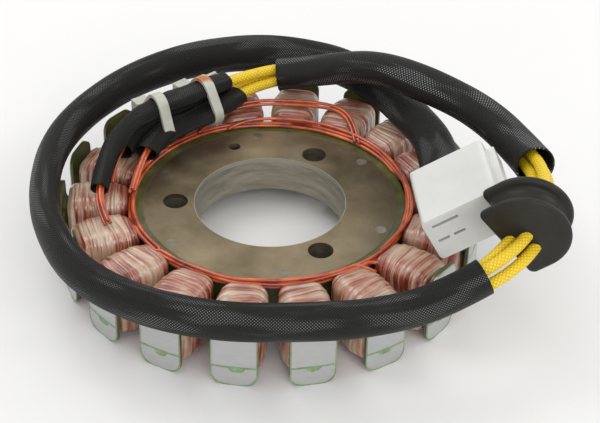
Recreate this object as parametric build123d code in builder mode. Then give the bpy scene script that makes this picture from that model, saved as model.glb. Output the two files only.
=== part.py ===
"""Stator of a motorcycle alternator, with its output leads, grommet and connector.

Millimetres. The bore axis is Z, the origin is on that axis in the plane the pole tips stand on,
+Z is up. Poles stand every 20 degrees from +X. The three output leads leave over the back of the
ring, turn down past the right-hand side through the grommet and run once round the ring.
"""

import os
from math import pi, radians, tan

from build123d import *

os.makedirs("parts", exist_ok=True)

# Core
POLES = 18
OUTER_R = 55.5
BORE_R = 20.0
HUB_R = 36.0
TOOTH_W = 5.4
SHOE_W = 11.5
SHOE_NECK_R = 53.2
SHOE_TIP_R = 54.3
STACK_H = 9.0
PLATE_T = 1.2
TAB_H = 5.6
TAB_CORNER_R = 3.2
TAB_NOTCH_R = 1.3
LOWER_PLATE_BORE_R = 22.0
SEAT_R = 33.8
SEAT_STEP = 0.1

# Heights
STACK_TOP = TAB_H + STACK_H
HUB_TOP = STACK_TOP + PLATE_T
HUB_BOTTOM = TAB_H - PLATE_T
TOTAL_H = STACK_TOP + TAB_H
MID_H = TOTAL_H / 2
HUB_H = HUB_TOP - HUB_BOTTOM
ARM_H = HUB_H - 2 * SEAT_STEP

# Holes and rivets in the hub
BOLT_HOLE_R = 3.3
BOLT_CIRCLE_R = 25.0
BOLT_ANGLE = 60.0
DOWEL_R = 1.6
DOWEL_CIRCLE_R = 27.4
DOWEL_ANGLE = 110.0
RIVETS = 6
RIVET_R = 1.5
RIVET_CIRCLE_R = 31.2
RIVET_ANGLE = 35.5

# Windings: radius, width and height of the sections of a coil
COIL_SECTIONS = ((37.5, 10.8, 15.6), (40.6, 12.4, 18.2), (46.5, 13.2, 19.0), (50.6, 12.6, 18.4), (53.0, 11.0, 16.8))
COIL_CORNER = 0.42
WIRE_D = 1.0
CROSSOVERS = (("crossover_phase_1", 37.0, 0.4, 75, 330), ("crossover_phase_2", 35.9, 0.4, 15, 330),
              ("crossover_phase_3", 36.45, 1.27, 135, 300))

# Leads and the sleeves round them
LEAD_D = 3.0
LEAD_PLACES = ((0.0, 1.9), (1.6, -0.95), (-1.6, -0.95))
SLEEVE_D = 8.6
SLEEVE_BORE = 7.8
SPLICE_D = 5.2
SPLICE_BORE = 4.2
SPLICE_REACH = 12.0
LEAD_START = 16.5
JOINT_L = 3.5
TAIL_SPACING = 0.6

# Centre line of the three leads: past the splices, short sleeve, grommet, long sleeve, connector
ROUTE = [
    (-20.5, 31.2, 25.2),
    (-3.5, 47.0, 25.4),
    (14.5, 46.0, 28.3),
    (30.0, 36.3, 35.8),
    (46.0, 23.2, 36.0),
    (57.5, 13.5, 34.2),
    (64.9, -3.9, 34.2),
    (68.5, -21.5, 36.8),
    (60.5, -46.5, 35.0),
    (38.4, -54.4, 25.1),
    (22.0, -58.6, 24.1),
    (6.5, -59.8, 24.1),
    (-13.0, -59.6, 24.1),
    (-31.5, -53.6, 24.1),
    (-46.8, -42.0, 24.2),
    (-55.5, -24.5, 24.4),
    (-58.8, -5.0, 24.5),
    (-57.4, 14.5, 24.6),
    (-49.7, 32.0, 24.9),
    (-37.0, 47.5, 25.2),
    (-20.0, 58.0, 25.4),
    (-1.0, 61.3, 25.5),
    (17.5, 57.0, 25.2),
    (31.0, 44.5, 24.9),
    (39.5, 27.5, 25.0),
    (45.0, 8.5, 27.4),
    (43.4, -13.5, 29.0),
]
SHORT_SLEEVE = (1, 7)
LONG_SLEEVE = (8, 26)

# Splices, from the open mouth towards the leads: top, left and right
SPLICES = (
    [(-44.4, -4.6, 23.0), (-42.8, 8.0, 27.0), (-35.2, 20.2, 30.0), (-21.5, 30.3, 30.3)],
    [(-39.9, 13.5, 23.0), (-35.9, 25.4, 23.5), (-24.8, 34.2, 23.5)],
    [(-33.2, 12.5, 22.8), (-29.8, 20.9, 23.7), (-18.4, 28.2, 23.7)],
)
# Where the magnet wires of each splice come up from the windings
TAIL_ROOTS = (
    [(-41.4, -16.5, 20.6), (-43.4, -11.6, 21.4)],
    [(-42.0, 1.5, 20.6), (-41.6, 7.5, 21.6)],
    [(-36.2, -0.5, 19.2), (-35.0, 6.0, 20.8)],
)

# Cable ties round the three splices
TIE_STATIONS = ((-31.0, 25.4), (-18.6, 34.2))
TIE_NORMALS = ((0.84, 0.54), (0.75, 0.66))
TIE_W = 2.9
TIE_T = 0.9
TIE_GAP = 0.3
TIE_HEAD_W = 5.2
TIE_HEAD_RISE = 1.2
TIE_HEAD_T = 3.4
TIE_HEAD_L = 4.4
TIE_TAILS = (2.0, 10.0)

# Grommet: half round with straight sides down to its flat
GROMMET_CENTRE = (60.3, -38.8, 36.9)
GROMMET_AXIS = (-0.20, -0.97, -0.10)
GROMMET_FLAT = (0.654, -0.057, -0.754)
GROMMET_R = 11.2
GROMMET_CHORD = 5.8
FLANGE_T = 2.2
GROOVE_W = 5.2
GROOVE_D = 2.4

# Connector
HOUSING_CENTRE = (47.2, -20.9, 31.3)
HOUSING_TURN = (0, -29, 3)
HOUSING_W = 20.3
HOUSING_L = 22.5
HOUSING_H = 12.4
HOUSING_ROUND = 1.2
TERMINAL_REAR = 5.0
TERMINAL_W = 3.0
TERMINAL_H = 2.0
TERMINAL_L = 12.0
TERMINAL_PLACES = ((-4.6, 3.8), (-2.7, -0.75), (-6.9, -0.75))
SLIT_WIDTHS = (6.9, 3.0, 3.0)
SLIT_H = 0.8
RAIL_W = 2.0
RAIL_H = 5.0
LATCH_X = -5.6
LATCH_W = 9.0
LATCH_L = 0.8
LATCH_H = 9.0


def finish_piece(builder, name):
    """Label one finished piece and write its file."""
    builder.part.label = name
    export_step(builder.part, f"parts/{name}.step")


def corner_radii(points, reach=0.45):
    """The arc at each corner takes the same share of its shorter run."""
    radii = []
    for before, corner, after in zip(points, points[1:], points[2:]):
        run_in = Vector(*corner) - Vector(*before)
        run_out = Vector(*after) - Vector(*corner)
        half_turn = radians(run_in.get_angle(run_out) / 2)
        radii.append(reach * min(run_in.length, run_out.length) / tan(half_turn))
    return radii


def side_step(points, side, lift):
    """The same route moved sideways (to the left of travel) and up, mitred at each corner."""
    moved = []
    for index in range(1, len(points) - 1):
        here = Vector(*points[index])
        way_in = here - Vector(*points[index - 1])
        way_out = Vector(*points[index + 1]) - here
        left_in = Vector(-way_in.Y, way_in.X, 0).normalized()
        left_out = Vector(-way_out.Y, way_out.X, 0).normalized()
        mitre = left_in + left_out
        moved.append(here + mitre * (2 * side / mitre.dot(mitre)) + Vector(0, 0, lift))
    return moved


def between(first, second, distance):
    """The point this far from the first point towards the second."""
    start = Vector(*first)
    return start + (Vector(*second) - start).normalized() * distance


def tube(points, outer_d, bore_d=0.0, radii=None):
    """A round tube along straight runs joined by tangent arcs."""
    with BuildPart() as piece:
        with BuildLine():
            if len(points) == 2:
                path = Line(*points)
            else:
                path = FilletPolyline(*points, radius=radii or corner_radii(points))
        with BuildSketch(Plane(origin=path @ 0, z_dir=path % 0)):
            Circle(outer_d / 2)
            if bore_d:
                Circle(bore_d / 2, mode=Mode.SUBTRACT)
        sweep()
    return piece, path.length


def report_tube(name, piece, length, section, radii):
    """Print what shows that a swept tube is whole: its volume against section times length."""
    share = piece.part.volume / (section * length)
    print(name, "length", round(length, 1), "volume share", round(share, 4), "least radius", round(min(radii), 1))


def route_sleeve(name, first, last):
    """A sleeve round the leads, from the middle of one run to the middle of another."""
    radii = corner_radii(ROUTE)
    start = (Vector(*ROUTE[first]) + Vector(*ROUTE[first + 1])) * 0.5
    end = (Vector(*ROUTE[last - 1]) + Vector(*ROUTE[last])) * 0.5
    points = [start, *ROUTE[first + 1 : last], end]
    inner_radii = radii[first : last - 1]
    sleeve, length = tube(points, SLEEVE_D, SLEEVE_BORE, inner_radii)
    section = pi / 4 * (SLEEVE_D**2 - SLEEVE_BORE**2)
    report_tube(name, sleeve, length, section, inner_radii)
    finish_piece(sleeve, name)


# --- Laminated core -----------------------------------------------------------------------------

with BuildSketch() as tooth:
    with BuildLine():
        Polyline(
            (BORE_R, -TOOTH_W / 2),
            (SHOE_NECK_R, -TOOTH_W / 2),
            (SHOE_TIP_R, -SHOE_W / 2),
            (OUTER_R, -SHOE_W / 2),
            (OUTER_R, SHOE_W / 2),
            (SHOE_TIP_R, SHOE_W / 2),
            (SHOE_NECK_R, TOOTH_W / 2),
            (BORE_R, TOOTH_W / 2),
            close=True,
        )
    make_face()

with BuildPart() as core_stack:
    with BuildSketch(Plane.XY.offset(TAB_H)):
        Circle(HUB_R)
        with PolarLocations(0, POLES):
            add(tooth.sketch)
        Circle(OUTER_R, mode=Mode.INTERSECT)
        Circle(BORE_R, mode=Mode.SUBTRACT)
        with PolarLocations(BOLT_CIRCLE_R, 3, start_angle=BOLT_ANGLE):
            Circle(BOLT_HOLE_R, mode=Mode.SUBTRACT)
        with PolarLocations(DOWEL_CIRCLE_R, 1, start_angle=DOWEL_ANGLE):
            Circle(DOWEL_R, mode=Mode.SUBTRACT)
        with PolarLocations(RIVET_CIRCLE_R, RIVETS, start_angle=RIVET_ANGLE):
            Circle(RIVET_R, mode=Mode.SUBTRACT)
    extrude(amount=STACK_H)
finish_piece(core_stack, "core_stack")


# --- End plates, each with a tab bent up at every pole -------------------------------------------

with BuildPart() as tab:
    with BuildSketch(Plane.YZ.offset(SHOE_TIP_R)):
        with Locations((0, STACK_TOP)):
            Rectangle(SHOE_W, TAB_H, align=(Align.CENTER, Align.MIN))
        fillet(vertices().group_by(Axis.Y)[-1], TAB_CORNER_R)
        with Locations((0, STACK_TOP)):
            Circle(TAB_NOTCH_R, mode=Mode.SUBTRACT)
    extrude(amount=OUTER_R - SHOE_TIP_R)
    with BuildSketch(Plane.XY.offset(STACK_TOP)):
        Circle(OUTER_R)
    extrude(amount=TAB_H, mode=Mode.INTERSECT)


def end_plate(bore_r):
    """A pressed plate: hub with a raised seat, an arm along every tooth and a tab at the end of each arm."""
    with BuildPart() as plate:
        with BuildSketch(Plane.XY.offset(STACK_TOP)):
            Circle(HUB_R)
            with PolarLocations(SHOE_TIP_R / 2, POLES):
                Rectangle(SHOE_TIP_R, TOOTH_W)
        extrude(amount=PLATE_T - SEAT_STEP)
        with BuildSketch(Plane.XY.offset(HUB_TOP)):
            Circle(SEAT_R)
        extrude(amount=-SEAT_STEP)
        with BuildSketch(Plane.XY.offset(HUB_TOP)):
            Circle(bore_r)
            with PolarLocations(BOLT_CIRCLE_R, 3, start_angle=BOLT_ANGLE):
                Circle(BOLT_HOLE_R)
            with PolarLocations(DOWEL_CIRCLE_R, 1, start_angle=DOWEL_ANGLE):
                Circle(DOWEL_R)
            with PolarLocations(RIVET_CIRCLE_R, RIVETS, start_angle=RIVET_ANGLE):
                Circle(RIVET_R)
        extrude(amount=-PLATE_T, mode=Mode.SUBTRACT)
        with PolarLocations(0, POLES):
            add(tab.part)
    return plate


end_plate_upper = end_plate(BORE_R)
finish_piece(end_plate_upper, "end_plate_upper")

lower_blank = end_plate(LOWER_PLATE_BORE_R)
with BuildPart() as end_plate_lower:
    mirror(lower_blank.part, about=Plane.XY.offset(MID_H))
finish_piece(end_plate_lower, "end_plate_lower")


# --- Rivets through the stack, closed flush -------------------------------------------------------

for number, place in enumerate(PolarLocations(RIVET_CIRCLE_R, RIVETS, start_angle=RIVET_ANGLE), start=1):
    with BuildPart() as rivet:
        with BuildSketch(Plane.XY.offset(HUB_BOTTOM)):
            with Locations(place.position):
                Circle(RIVET_R)
        extrude(amount=HUB_H)
    finish_piece(rivet, f"core_rivet_{number}")


# --- Windings -------------------------------------------------------------------------------------

with BuildPart() as coil_blank:
    for section_r, section_w, section_h in COIL_SECTIONS:
        with BuildSketch(Plane.YZ.offset(section_r)):
            with Locations((0, MID_H)):
                RectangleRounded(section_w, section_h, COIL_CORNER * section_w)
    loft(ruled=True)
    with BuildSketch(Plane.YZ.offset(HUB_R)):
        with Locations((0, MID_H)):
            Rectangle(TOOTH_W, ARM_H)
    extrude(amount=OUTER_R - HUB_R, mode=Mode.SUBTRACT)

for number in range(POLES):
    with BuildPart() as coil:
        with PolarLocations(0, 1, start_angle=number * 360 / POLES):
            add(coil_blank.part)
    finish_piece(coil, f"coil_{number + 1:02d}")

for name, ring_r, lift, start, sweep_angle in CROSSOVERS:
    with BuildPart() as crossover:
        with BuildLine(Plane.XY.offset(HUB_TOP + lift)):
            ring = CenterArc((0, 0), ring_r, start, sweep_angle)
        with BuildSketch(Plane(origin=ring @ 0, z_dir=ring % 0)):
            Circle(WIRE_D / 2)
        sweep()
    finish_piece(crossover, name)


# --- Leads, which end in the connector --------------------------------------------------------------

housing_place = Location(HOUSING_CENTRE, HOUSING_TURN)
leads = []
for index, (side, lift) in enumerate(LEAD_PLACES):
    inner = side_step(ROUTE, side, lift)
    joint = between(inner[0], SPLICES[index][-1], LEAD_START)
    place_x, place_z = TERMINAL_PLACES[index]
    crimp = (housing_place * Location((place_x, TERMINAL_REAR, place_z))).position
    points = [joint, *inner, crimp]
    lead, length = tube(points, LEAD_D)
    report_tube(f"lead_{index + 1}", lead, length, pi / 4 * LEAD_D**2, corner_radii(points))
    finish_piece(lead, f"lead_{index + 1}")
    leads.append(lead)

    # Splice sleeve, soldered joint and the two magnet wires that come up to it
    mouth_end = between(inner[0], SPLICES[index][-1], SPLICE_REACH)
    sleeve, _ = tube([*SPLICES[index], mouth_end], SPLICE_D, SPLICE_BORE)
    finish_piece(sleeve, f"splice_sleeve_{index + 1}")
    joint_rear = between(joint, SPLICES[index][-1], JOINT_L)
    solder, _ = tube([joint_rear, joint], SPLICE_BORE)
    finish_piece(solder, f"splice_joint_{index + 1}")
    with BuildPart() as tails:
        for shift in (-TAIL_SPACING, TAIL_SPACING):
            wire_points = [Vector(*point) + Vector(0, 0, shift) for point in TAIL_ROOTS[index]]
            wire_points += [Vector(*point) + Vector(0, 0, shift) for point in SPLICES[index]]
            wire_points.append(joint_rear + Vector(0, 0, shift))
            wire, _ = tube(wire_points, WIRE_D)
            add(wire.part)
    finish_piece(tails, f"tail_pair_{index + 1}")

route_sleeve("sleeve_short", *SHORT_SLEEVE)
route_sleeve("sleeve_long", *LONG_SLEEVE)


# --- Grommet moulded round the leads ------------------------------------------------------------------

grommet_plane = Plane(origin=GROMMET_CENTRE, x_dir=GROMMET_FLAT, z_dir=GROMMET_AXIS)
grommet_depth = 2 * FLANGE_T + GROOVE_W
with BuildPart() as grommet:
    for height, thickness, inset in (
        (-grommet_depth / 2, FLANGE_T, 0.0),
        (-GROOVE_W / 2, GROOVE_W, GROOVE_D),
        (GROOVE_W / 2, FLANGE_T, 0.0),
    ):
        with BuildSketch(grommet_plane.offset(height)):
            Circle(GROMMET_R - inset)
            with Locations((0, inset - GROMMET_CHORD)):
                Rectangle(2 * GROMMET_R, 2 * GROMMET_R, align=(Align.CENTER, Align.MIN), mode=Mode.INTERSECT)
        extrude(amount=thickness)
    for lead in leads:
        add(lead.part, mode=Mode.SUBTRACT)
finish_piece(grommet, "grommet")


# --- Connector housing and its terminals ---------------------------------------------------------------

front = Plane(housing_place * Location((0, -HOUSING_L / 2, 0), (90, 0, 0)))
rear = front.offset(-HOUSING_L)
with BuildPart() as connector_housing:
    with BuildSketch(front):
        RectangleRounded(HOUSING_W, HOUSING_H, HOUSING_ROUND)
        with Locations((HOUSING_W / 2, 0)):
            Rectangle(2 * RAIL_W, RAIL_H)
    extrude(amount=-HOUSING_L)
    with BuildSketch(rear):
        with Locations((LATCH_X, 0)):
            Rectangle(LATCH_W, LATCH_H)
    extrude(amount=-LATCH_L)
    for place, width in zip(TERMINAL_PLACES, SLIT_WIDTHS):
        with BuildSketch(front):
            with Locations(place):
                Rectangle(width, SLIT_H)
        extrude(amount=-(HOUSING_L / 2 + TERMINAL_REAR - TERMINAL_L), mode=Mode.SUBTRACT)
        with BuildSketch(front.offset(TERMINAL_L - HOUSING_L / 2 - TERMINAL_REAR)):
            with Locations(place):
                Rectangle(TERMINAL_W, TERMINAL_H)
        extrude(amount=-TERMINAL_L, mode=Mode.SUBTRACT)
    for lead in leads:
        add(lead.part, mode=Mode.SUBTRACT)
finish_piece(connector_housing, "connector_housing")

for number, place in enumerate(TERMINAL_PLACES, start=1):
    with BuildPart() as terminal:
        with BuildSketch(front.offset(-(HOUSING_L / 2 + TERMINAL_REAR))):
            with Locations(place):
                Rectangle(TERMINAL_W, TERMINAL_H)
        extrude(amount=TERMINAL_L)
    finish_piece(terminal, f"terminal_{number}")


# --- Cable ties round the splices -----------------------------------------------------------------------

def crossing(points, origin, normal):
    """Where a chain of straight runs crosses a plane."""
    for first, second in zip(points, points[1:]):
        near = (Vector(*first) - origin).dot(normal)
        far = (Vector(*second) - origin).dot(normal)
        if near <= 0 <= far:
            return Vector(*first) + (Vector(*second) - Vector(*first)) * (near / (near - far))
    raise ValueError("the runs don't cross the plane")


for number, (station, heading, tail_length) in enumerate(zip(TIE_STATIONS, TIE_NORMALS, TIE_TAILS), start=1):
    normal = Vector(*heading, 0).normalized()
    across = Vector(-normal.Y, normal.X, 0)
    base = Vector(*station, 0)
    middles = []
    for index, splice in enumerate(SPLICES):
        corner = side_step(ROUTE, *LEAD_PLACES[index])[0]
        there = crossing([*splice, corner], base, normal) - base
        middles.append((there.dot(across), there.Z))
    tie_plane = Plane(origin=base, x_dir=across, z_dir=normal)
    head_place = (max(middles)[0] + SPLICE_D / 2 + TIE_GAP + TIE_HEAD_T / 2, max(middles)[1] + TIE_HEAD_RISE)
    with BuildPart() as tie:
        for inset, mode in ((TIE_T, Mode.ADD), (0.0, Mode.SUBTRACT)):
            with BuildSketch(tie_plane.offset(-TIE_W / 2)):
                Polygon(*middles, align=None)
                offset(amount=SPLICE_D / 2 + TIE_GAP + inset)
            extrude(amount=TIE_W, mode=mode)
        with BuildSketch(tie_plane.offset(-TIE_HEAD_L / 2)):
            with Locations(head_place):
                Rectangle(TIE_HEAD_T, TIE_HEAD_W)
        extrude(amount=TIE_HEAD_L)
        with BuildSketch(tie_plane.offset(TIE_HEAD_L / 2)):
            with Locations(head_place):
                Rectangle(TIE_T, TIE_W)
        extrude(amount=tail_length)
    finish_piece(tie, f"cable_tie_{number}")
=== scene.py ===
"""Looks for the alternator stator: windings, leads, sleeves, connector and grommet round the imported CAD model."""

import math

import bmesh
import bpy
import numpy as np
from mathutils import Matrix, Vector


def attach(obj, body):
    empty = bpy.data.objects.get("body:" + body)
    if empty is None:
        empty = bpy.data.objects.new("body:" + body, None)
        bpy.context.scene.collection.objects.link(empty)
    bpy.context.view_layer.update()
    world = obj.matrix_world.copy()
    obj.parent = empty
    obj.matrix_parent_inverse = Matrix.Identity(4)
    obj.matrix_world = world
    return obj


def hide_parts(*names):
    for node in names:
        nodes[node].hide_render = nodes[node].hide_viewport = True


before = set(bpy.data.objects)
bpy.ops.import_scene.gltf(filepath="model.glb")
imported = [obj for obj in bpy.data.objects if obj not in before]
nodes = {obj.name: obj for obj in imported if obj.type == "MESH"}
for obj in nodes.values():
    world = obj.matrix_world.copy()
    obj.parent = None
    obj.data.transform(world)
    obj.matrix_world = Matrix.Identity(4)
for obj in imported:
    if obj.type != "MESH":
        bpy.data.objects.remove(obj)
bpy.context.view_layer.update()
BODY = "root"
MM = 0.001
noise_rng = np.random.default_rng(18)

# Core, as in the CAD source
POLES = 18
OUTER_R = 0.0555
BARE_R = 0.0338
BORE_R = 0.020
STACK_BOTTOM = 0.0056
STACK_TOP = 0.0146
MID_H = 0.0101
TOTAL_H = 0.0202
TOOTH_W = 0.0054
ARM_H = 0.0112
SHOE_W = 0.0115

# The leads' route, as in the CAD source
ROUTE = [
    (-0.0205, 0.0312, 0.0252),
    (-0.0035, 0.0470, 0.0254),
    (0.0145, 0.0460, 0.0283),
    (0.0300, 0.0363, 0.0358),
    (0.0460, 0.0232, 0.0360),
    (0.0575, 0.0135, 0.0342),
    (0.0649, -0.0039, 0.0342),
    (0.0685, -0.0215, 0.0368),
    (0.0605, -0.0465, 0.0350),
    (0.0384, -0.0544, 0.0251),
    (0.0220, -0.0586, 0.0241),
    (0.0065, -0.0598, 0.0241),
    (-0.0130, -0.0596, 0.0241),
    (-0.0315, -0.0536, 0.0241),
    (-0.0468, -0.0420, 0.0242),
    (-0.0555, -0.0245, 0.0244),
    (-0.0588, -0.0050, 0.0245),
    (-0.0574, 0.0145, 0.0246),
    (-0.0497, 0.0320, 0.0249),
    (-0.0370, 0.0475, 0.0252),
    (-0.0200, 0.0580, 0.0254),
    (-0.0010, 0.0613, 0.0255),
    (0.0175, 0.0570, 0.0252),
    (0.0310, 0.0445, 0.0249),
    (0.0395, 0.0275, 0.0250),
    (0.0450, 0.0085, 0.0274),
    (0.0434, -0.0135, 0.0290),
]
SHORT_SLEEVE = (1, 7)
LONG_SLEEVE = (8, 26)
# Roll of each flattened sleeve in degrees, from level, against the share of its length
SHORT_ROLL = ((0, 0), (0.5, 20), (1, 10))
LONG_ROLL = ((0, 80), (0.55, 95), (0.72, 70), (0.85, 20), (1, 15))
LEAD_D = 0.003
LEAD_PLACES = ((0.0, 0.0019), (0.0016, -0.00095), (-0.0016, -0.00095))
LEAD_STARTS = ((-0.0148, 0.0364, 0.0288), (-0.0165, 0.0379, 0.0240), (-0.0130, 0.0350, 0.0240))
# How far each lead strays from the common route in front of the grommet, and at which of its points
LEAD_FAN = ((0.0, 0.0, 0.0), (0.0004, 0.0, -0.0010), (-0.0030, 0.0, 0.0014))
FAN_POINT = 8
LEAD_LENGTHS = (0.498, 0.511, 0.484)
LEAD_ENDS = ((-0.0046, 0.005, 0.0038), (-0.0027, 0.005, -0.00075), (-0.0069, 0.005, -0.00075))
HOUSING_CENTRE = (0.0472, -0.0209, 0.0313)
HOUSING_TURN = (math.radians(-29), math.radians(3))

# Splice sleeves, from the open mouth to the end that the lead comes out of: top, left and right
SPLICES = (
    [(-0.0444, -0.0046, 0.0230), (-0.0428, 0.0080, 0.0270), (-0.0352, 0.0202, 0.0300), (-0.0215, 0.0303, 0.0303)],
    [(-0.0399, 0.0135, 0.0230), (-0.0359, 0.0254, 0.0235), (-0.0248, 0.0342, 0.0235)],
    [(-0.0332, 0.0125, 0.0228), (-0.0298, 0.0209, 0.0237), (-0.0184, 0.0282, 0.0237)],
)
TAIL_ROOTS = (
    [(-0.0414, -0.0165, 0.0206), (-0.0434, -0.0116, 0.0214)],
    [(-0.0420, 0.0015, 0.0206), (-0.0416, 0.0075, 0.0216)],
    [(-0.0362, -0.0005, 0.0192), (-0.0350, 0.0060, 0.0208)],
)

# How far each splice sleeve stops short of the leads' first corner, and its width at four places along it
SPLICE_REACHES = (0.0115, 0.0080, 0.0080)
SPLICE_SWELLS = ((0.85, 1.0, 1.25, 1.15), (1.3, 1.45, 1.35, 1.15), (1.25, 1.35, 1.3, 1.1))
STRAND_PLACES = ((-0.75, -0.3), (0.55, 0.3), (0.0, 0.95))

# Windings and loose wires
COIL_INNER = 0.0374
COIL_OUTER = 0.0530
TURNS = 15
WIRE_D = 0.00095
CROSSOVER_D = 0.0010
# Radius, height, start angle, sweep, unevenness and dip of each wire laid round the rim, by phase
RIM_WIRES = (
    ((0.0370, 0.0163, 75, 330, 0.00035, 0.003), (0.0374, 0.0173, 196, 120, 0.00045, 0.001)),
    ((0.0359, 0.0163, 15, 330, 0.0002, 0.001), (0.0368, 0.0181, 215, 95, 0.0004, 0.002)),
    ((0.0364, 0.0172, 135, 300, 0.0003, 0.003), (0.0363, 0.0179, 150, 75, 0.0004, 0.002)),
)
BACK_WIRES = (
    [(-0.0195, 0.0305, 0.0172), (-0.0160, 0.0340, 0.0188), (-0.0115, 0.0375, 0.0203), (-0.0030, 0.0403, 0.0206),
     (0.0070, 0.0400, 0.0206), (0.0150, 0.0388, 0.0206), (0.0205, 0.0366, 0.0205), (0.0232, 0.0315, 0.0194),
     (0.0240, 0.0258, 0.0172)],
    [(-0.0190, 0.0318, 0.0182), (-0.0150, 0.0350, 0.0199), (-0.0100, 0.0387, 0.0211), (-0.0020, 0.0412, 0.0213),
     (0.0080, 0.0408, 0.0213), (0.0162, 0.0394, 0.0213), (0.0216, 0.0366, 0.0210), (0.0243, 0.0312, 0.0194),
     (0.0252, 0.0252, 0.0172)],
    [(-0.0112, 0.0330, 0.0168), (-0.0080, 0.0352, 0.0178), (0.0000, 0.0364, 0.0184), (0.0120, 0.0348, 0.0184),
     (0.0220, 0.0300, 0.0182), (0.0300, 0.0220, 0.0182), (0.0350, 0.0110, 0.0186), (0.0366, 0.0000, 0.0188),
     (0.0362, -0.0085, 0.0184), (0.0340, -0.0150, 0.0170)],
    [(0.0310, 0.0205, 0.0176), (0.0358, 0.0100, 0.0181), (0.0371, -0.0010, 0.0186), (0.0369, -0.0090, 0.0186),
     (0.0337, -0.0160, 0.0180), (0.0275, -0.0235, 0.0172)],
)

# Grommet
GROMMET_CENTRE = Vector((0.0603, -0.0388, 0.0369))
GROMMET_AXIS = Vector((-0.20, -0.97, -0.10))
GROMMET_FLAT = Vector((0.654, -0.057, -0.754))
GROMMET_R = 0.0112
GROMMET_CHORD = 0.0058

# Camera
LENS = 95.31
AZIMUTH = math.radians(2.687)
ELEVATION = math.radians(36.162)
ROLL = math.radians(1.42)
DISTANCE = 0.42697
TARGET = Vector((0.00815, 0.00305, 0.0100))

# Name, place, size and power of each light, all aimed at the object
LIGHTS = (
    ("key", (-0.35, 0.25, 0.75), (0.5, 0.5), 1.8),
    ("front", (0.25, -0.75, 0.55), (0.7, 0.5), 2.4),
    ("right", (0.8, 0.15, 0.5), (0.4, 0.4), 1.3),
)
LIGHT_AIM = (0, 0, 0.01)
SKY_STRENGTH = 0.83
FLOOR_HALF = 3


# --- Camera, floor and light ------------------------------------------------------------------

def make_camera():
    forward = Vector((math.sin(AZIMUTH) * math.cos(ELEVATION), math.cos(AZIMUTH) * math.cos(ELEVATION),
                      -math.sin(ELEVATION)))
    right = Vector((math.cos(AZIMUTH), -math.sin(AZIMUTH), 0))
    up = right.cross(forward)
    turned_right = right * math.cos(ROLL) + up * math.sin(ROLL)
    turned_up = up * math.cos(ROLL) - right * math.sin(ROLL)
    data = bpy.data.cameras.new("camera")
    data.lens = LENS
    data.sensor_width = 36
    data.clip_start = 0.01
    camera = bpy.data.objects.new("camera", data)
    bpy.context.scene.collection.objects.link(camera)
    turn = Matrix((turned_right, turned_up, -forward)).transposed().to_4x4()
    camera.matrix_world = Matrix.Translation(TARGET - forward * DISTANCE) @ turn
    bpy.context.scene.camera = camera


def area_light(name, place, size, power):
    data = bpy.data.lights.new(name, "AREA")
    data.shape = "RECTANGLE"
    data.size, data.size_y = size
    data.energy = power
    light = bpy.data.objects.new(name, data)
    bpy.context.scene.collection.objects.link(light)
    light.location = place
    light.rotation_euler = (Vector(LIGHT_AIM) - Vector(place)).to_track_quat("-Z", "Y").to_euler()


# --- Materials --------------------------------------------------------------------------------

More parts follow.
